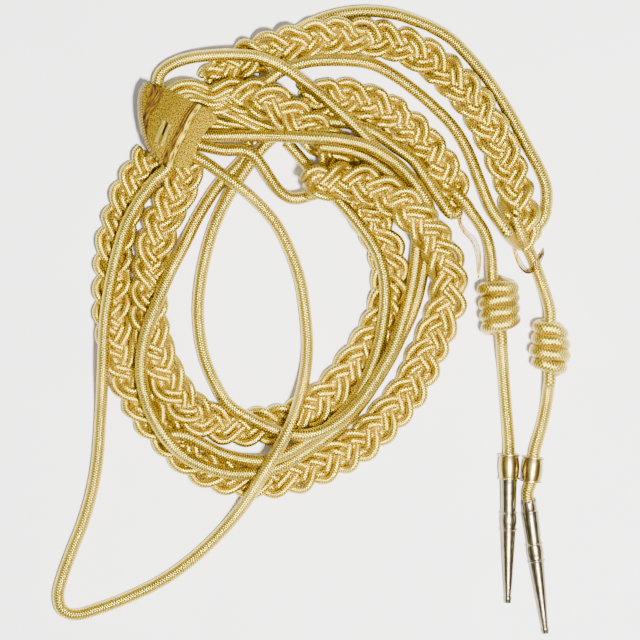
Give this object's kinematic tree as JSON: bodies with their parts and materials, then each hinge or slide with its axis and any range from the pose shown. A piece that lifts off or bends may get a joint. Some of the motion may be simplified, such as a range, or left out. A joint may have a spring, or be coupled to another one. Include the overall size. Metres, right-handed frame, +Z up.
{
  "type": "aiguillette",
  "caption": "Gold wire cord aiguillette lying coiled on its back: plaited and plain cords under a folded shoulder strap with a buttonhole, ending in wound knots, slide beads and metal tags.",
  "frame": {"origin": "middle of the coiled cords in plan, on the surface that they lie on", "axes": "+Y from the metal tags towards the shoulder strap, +X towards the side of the two tagged ends, +Z up from the surface"},
  "size_m": [0.2591, 0.3141, 0.0295],
  "materials": {
    "gold_cord": "gilt wire weave over a soft core",
    "gold_lace": "flat woven gilt lace",
    "gilt_brass": "polished"
  },
  "bodies": {
    "root": {"outer_plait": "gold_cord", "inner_plait": "gold_cord", "upper_plait": "gold_cord", "short_plait": "gold_cord", "rim_cord": "gold_cord", "outer_coil_cord": "gold_cord", "inner_coil_cord": "gold_cord", "middle_coil_cord": "gold_cord", "top_cord": "gold_cord", "link_cord": "gold_cord", "long_loop_cord": "gold_cord", "knot_1": "gold_cord", "knot_2": "gold_cord", "end_cord_1_upper": "gold_cord", "end_cord_1_lower": "gold_cord", "end_cord_2_upper": "gold_cord", "end_cord_2_lower": "gold_cord", "shoulder_strap": "gold_lace", "slide_bead_1": "gilt_brass", "slide_bead_2": "gilt_brass", "tag_1": "gilt_brass", "tag_2": "gilt_brass"}
  },
  "joints": []
}
